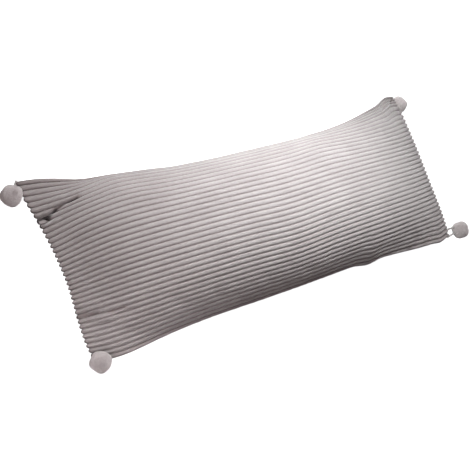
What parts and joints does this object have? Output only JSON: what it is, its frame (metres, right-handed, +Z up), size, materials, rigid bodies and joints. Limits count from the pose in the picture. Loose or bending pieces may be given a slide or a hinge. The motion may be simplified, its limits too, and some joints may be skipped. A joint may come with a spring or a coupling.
{
  "type": "body pillow",
  "caption": "Long filled body pillow in ribbed plush, with drawn-in sides, soft ears and a yarn pompom tied to each corner, lying on its back.",
  "frame": {"origin": "middle of the bed, the flat of the back panel on which the pillow lies", "axes": "+X along the pillow to its right end, +Y across it to its back long side, +Z up out of the front panel"},
  "size_m": [1.5662, 0.542, 0.211],
  "materials": {
    "plush": "short-pile ribbed plush, taupe grey, soft sheen",
    "pompom_yarn": "dense cut yarn, taupe grey, matt",
    "tie_yarn": "twisted yarn, pale grey"
  },
  "bodies": {
    "root": {"cushion": "plush", "pompom_left_back": "pompom_yarn", "pompom_right_back": "pompom_yarn", "pompom_right_front": "pompom_yarn", "pompom_left_front": "pompom_yarn", "tie_left_back": "tie_yarn", "tie_right_back": "tie_yarn", "tie_right_front": "tie_yarn", "tie_left_front": "tie_yarn"}
  },
  "joints": []
}
